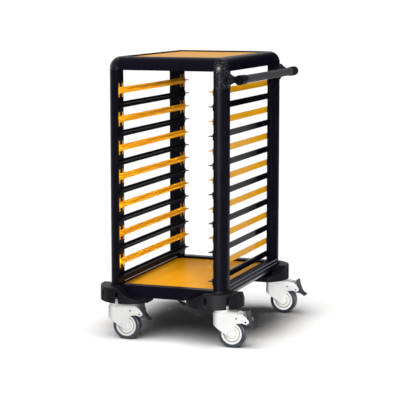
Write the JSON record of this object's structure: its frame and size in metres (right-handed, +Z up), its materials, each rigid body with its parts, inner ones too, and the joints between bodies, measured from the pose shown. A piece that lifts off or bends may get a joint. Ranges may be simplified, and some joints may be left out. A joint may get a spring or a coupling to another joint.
{
  "type": "gastronorm pan trolley",
  "caption": "Upright wheeled trolley with black posts, amber panels and stacked runners for gastronorm pans, a side push handle and braked swivel castors",
  "frame": {"origin": "on the floor, in the middle of the trolley's footprint box, castors and handle included", "axes": "+Z up from the floor; +X towards the push handle; -Y is the open front where pans go in"},
  "size_m": [0.5885, 0.747, 0.994],
  "materials": {
    "amber_plastic": "satin moulded plastic",
    "amber_panel": "satin sheet",
    "black_plastic": "satin moulded plastic",
    "black_profile": "black powder coat, satin",
    "corner_moulding": "fine grained moulding",
    "bumper_moulding": "matte charcoal moulding",
    "handle_moulding": "fine grained moulding",
    "grip_tube": "grey coated tube",
    "white_fork": "glossy white moulding",
    "cream_core": "off-white moulding",
    "tyre": "slate grey rubber",
    "pedal_plastic": "dark grey moulding",
    "plated_steel": "plated steel"
  },
  "bodies": {
    "frame": {"amber_clips": "amber_plastic", "amber_runners_left": "amber_plastic", "amber_runners_right": "amber_plastic", "base_beam_back": "black_profile", "base_beam_front": "black_profile", "base_beam_left": "black_profile", "base_beam_right": "black_profile", "black_clips": "black_plastic", "black_runners_left": "black_plastic", "black_runners_right": "black_plastic", "bumper_back_left": "bumper_moulding", "bumper_back_right": "bumper_moulding", "bumper_front_left": "bumper_moulding", "bumper_front_right": "bumper_moulding", "castor_stems": "plated_steel", "floor_panel": "amber_panel", "handle_bracket_back": "handle_moulding", "handle_bracket_front": "handle_moulding", "handle_cap_back": "handle_moulding", "handle_cap_front": "handle_moulding", "handle_tube": "grip_tube", "post_back_left": "black_profile", "post_back_right": "black_profile", "post_front_left": "black_profile", "post_front_right": "black_profile", "stem_sockets": "plated_steel", "top_beam_back": "black_profile", "top_beam_front": "black_profile", "top_beam_left": "black_profile", "top_beam_right": "black_profile", "top_corner_back_left": "corner_moulding", "top_corner_back_right": "corner_moulding", "top_corner_front_left": "corner_moulding", "top_corner_front_right": "corner_moulding", "top_panel": "amber_panel"},
    "castor_front_left": {"castor_fork_front_left": "white_fork", "axle_front_left": "plated_steel", "pedal_pin_front_left": "plated_steel"},
    "wheel_front_left": {"wheel_core_front_left": "cream_core", "tyre_front_left": "tyre"},
    "pedal_front_left": {"brake_pedal_front_left": "pedal_plastic"},
    "castor_front_right": {"castor_fork_front_right": "white_fork", "axle_front_right": "plated_steel", "pedal_pin_front_right": "plated_steel"},
    "wheel_front_right": {"wheel_core_front_right": "cream_core", "tyre_front_right": "tyre"},
    "pedal_front_right": {"brake_pedal_front_right": "pedal_plastic"},
    "castor_back_left": {"castor_fork_back_left": "white_fork", "axle_back_left": "plated_steel", "pedal_pin_back_left": "plated_steel"},
    "wheel_back_left": {"wheel_core_back_left": "cream_core", "tyre_back_left": "tyre"},
    "pedal_back_left": {"brake_pedal_back_left": "pedal_plastic"},
    "castor_back_right": {"castor_fork_back_right": "white_fork", "axle_back_right": "plated_steel", "pedal_pin_back_right": "plated_steel"},
    "wheel_back_right": {"wheel_core_back_right": "cream_core", "tyre_back_right": "tyre"},
    "pedal_back_right": {"brake_pedal_back_right": "pedal_plastic"}
  },
  "joints": [
    {"name": "swivel_front_left", "type": "hinge", "parent": "frame", "child": "castor_front_left", "pos_m": [-0.2275, -0.3065, 0.127], "axis": [0, 0, 1], "continuous": true},
    {"name": "roll_front_left", "type": "hinge", "parent": "castor_front_left", "child": "wheel_front_left", "pos_m": [-0.1855, -0.3065, 0.05], "axis": [0, 1, 0], "continuous": true},
    {"name": "brake_front_left", "type": "hinge", "parent": "castor_front_left", "child": "pedal_front_left", "pos_m": [-0.1315, -0.3065, 0.095], "axis": [0, 1, 0], "range_deg": [0, 15]},
    {"name": "swivel_front_right", "type": "hinge", "parent": "frame", "child": "castor_front_right", "pos_m": [0.1645, -0.3065, 0.127], "axis": [0, 0, 1], "continuous": true},
    {"name": "roll_front_right", "type": "hinge", "parent": "castor_front_right", "child": "wheel_front_right", "pos_m": [0.2065, -0.3065, 0.05], "axis": [0, 1, 0], "continuous": true},
    {"name": "brake_front_right", "type": "hinge", "parent": "castor_front_right", "child": "pedal_front_right", "pos_m": [0.2605, -0.3065, 0.095], "axis": [0, 1, 0], "range_deg": [0, 15]},
    {"name": "swivel_back_left", "type": "hinge", "parent": "frame", "child": "castor_back_left", "pos_m": [-0.2275, 0.3065, 0.127], "axis": [0, 0, 1], "continuous": true},
    {"name": "roll_back_left", "type": "hinge", "parent": "castor_back_left", "child": "wheel_back_left", "pos_m": [-0.1855, 0.3065, 0.05], "axis": [0, 1, 0], "continuous": true},
    {"name": "brake_back_left", "type": "hinge", "parent": "castor_back_left", "child": "pedal_back_left", "pos_m": [-0.1315, 0.3065, 0.095], "axis": [0, 1, 0], "range_deg": [0, 15]},
    {"name": "swivel_back_right", "type": "hinge", "parent": "frame", "child": "castor_back_right", "pos_m": [0.1645, 0.3065, 0.127], "axis": [0, 0, 1], "continuous": true},
    {"name": "roll_back_right", "type": "hinge", "parent": "castor_back_right", "child": "wheel_back_right", "pos_m": [0.2065, 0.3065, 0.05], "axis": [0, 1, 0], "continuous": true},
    {"name": "brake_back_right", "type": "hinge", "parent": "castor_back_right", "child": "pedal_back_right", "pos_m": [0.2605, 0.3065, 0.095], "axis": [0, 1, 0], "range_deg": [0, 15]}
  ]
}
